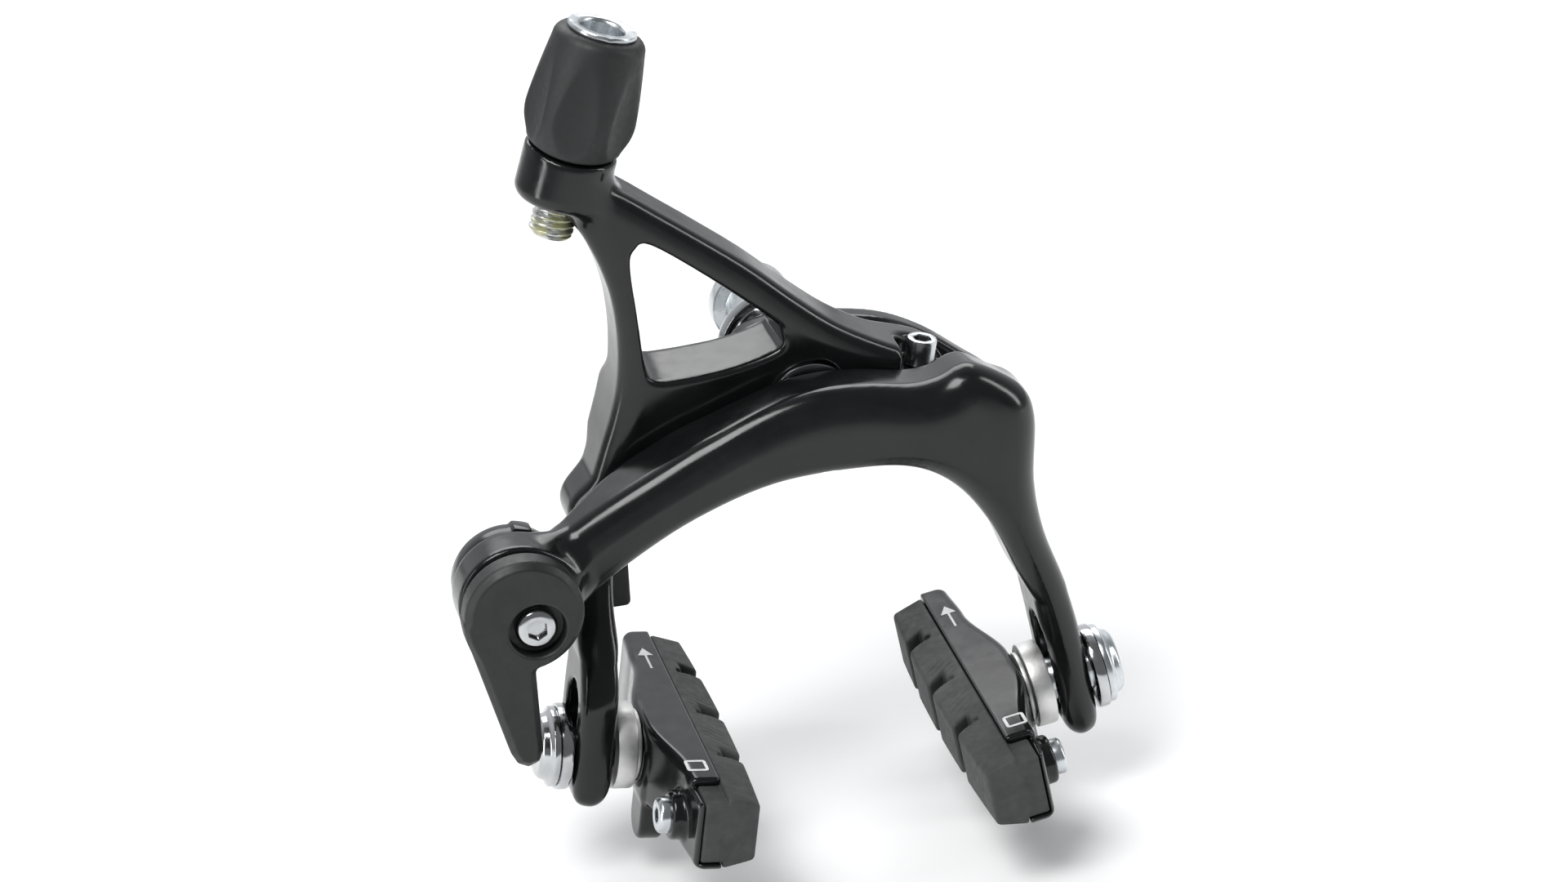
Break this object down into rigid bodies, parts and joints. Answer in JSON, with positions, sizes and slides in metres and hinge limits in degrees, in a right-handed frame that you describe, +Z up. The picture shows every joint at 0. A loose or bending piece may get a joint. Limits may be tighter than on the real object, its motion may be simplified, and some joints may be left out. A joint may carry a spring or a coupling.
{
  "type": "rim brake caliper",
  "caption": "Dual-pivot side-pull rim brake caliper for a bicycle, with coupled forged arms, quick-release lever, barrel adjuster and slotted pad holders.",
  "frame": {"origin": "on the mounting bolt's axis, in the toothed face that seats on the bicycle frame", "axes": "+Y along the mounting bolt towards the frame, +Z up, X across the wheel"},
  "size_m": [0.0939, 0.066, 0.1177],
  "materials": {
    "arm_black": "gloss black paint on forged aluminium",
    "chrome": "bright plated steel",
    "zinc": "zinc plated steel",
    "bronze": "sintered bronze bush",
    "matt_black": "matt moulded plastic",
    "lever_black": "matt black coated lever",
    "silver": "blasted aluminium washer",
    "rubber": "brake pad rubber"
  },
  "bodies": {
    "mount": {"bridge": "arm_black", "centre_bolt": "zinc", "sleeve_nut": "zinc", "mount_washer": "chrome", "frame_spacer": "chrome", "hub_washer": "chrome", "side_pivot_bolt": "zinc", "side_pivot_nut": "zinc", "side_thrust_washer": "bronze", "return_spring": "zinc"},
    "front_arm": {"c_arm": "arm_black", "centre_bush": "bronze", "hub_grub_screw": "zinc", "centering_pin": "zinc"},
    "rear_arm": {"y_arm": "arm_black", "side_pivot_bush": "bronze", "spring_shoe": "matt_black", "centering_screw": "zinc"},
    "lever": {"qr_lever": "lever_black", "clamp_plate": "arm_black", "anchor_screw": "chrome", "anchor_nut": "zinc"},
    "adjuster_ring": {"detent_ring": "matt_black"},
    "adjuster": {"barrel_grip": "matt_black", "barrel_stem": "zinc"},
    "left_pad": {"left_pad_bolt": "chrome", "left_outer_washer": "chrome", "left_cup_washer": "silver", "left_dome_washer": "silver", "left_pad_holder": "arm_black", "left_brake_pad": "rubber", "left_retaining_screw": "zinc"},
    "right_pad": {"right_pad_bolt": "chrome", "right_outer_washer": "chrome", "right_cup_washer": "silver", "right_dome_washer": "silver", "right_pad_holder": "arm_black", "right_brake_pad": "rubber", "right_retaining_screw": "zinc"}
  },
  "joints": [
    {"name": "front_arm_pivot", "type": "hinge", "parent": "mount", "child": "front_arm", "pos_m": [0, 0, 0], "axis": [0, 1, 0], "range_deg": [0, 4.5], "stiffness_Nm_per_rad": 2, "springref_deg": -8.59},
    {"name": "rear_arm_pivot", "type": "hinge", "parent": "mount", "child": "rear_arm", "pos_m": [0.025, 0, -0.011], "axis": [0, 1, 0], "range_deg": [-5.96, 0], "stiffness_Nm_per_rad": 1, "springref_deg": 8.59},
    {"name": "quick_release", "type": "hinge", "parent": "front_arm", "child": "lever", "pos_m": [-0.0442, 0, -0.0168], "axis": [0, 1, 0], "range_deg": [0, 115]},
    {"name": "adjuster_rise", "type": "slide", "parent": "rear_arm", "child": "adjuster_ring", "axis": [0.309, 0, 0.9511], "range_m": [0, 0.006]},
    {"name": "adjuster_turn", "type": "hinge", "parent": "adjuster_ring", "child": "adjuster", "pos_m": [-0.0294, -0.01555, 0.0396], "axis": [0.309, 0, 0.9511], "range_deg": [-2160, 0]},
    {"name": "left_pad_height", "type": "slide", "parent": "rear_arm", "child": "left_pad", "axis": [0.1564, 0, 0.9877], "range_m": [-0.0018, 0.0066]},
    {"name": "right_pad_height", "type": "slide", "parent": "front_arm", "child": "right_pad", "axis": [-0.1564, 0, 0.9877], "range_m": [-0.0026, 0.0077]}
  ],
  "couplings": [
    {"joint": "rear_arm_pivot", "follows": "front_arm_pivot", "ratio": -1.32},
    {"joint": "adjuster_turn", "follows": "adjuster_rise", "rad_per_m": -6283.2}
  ]
}
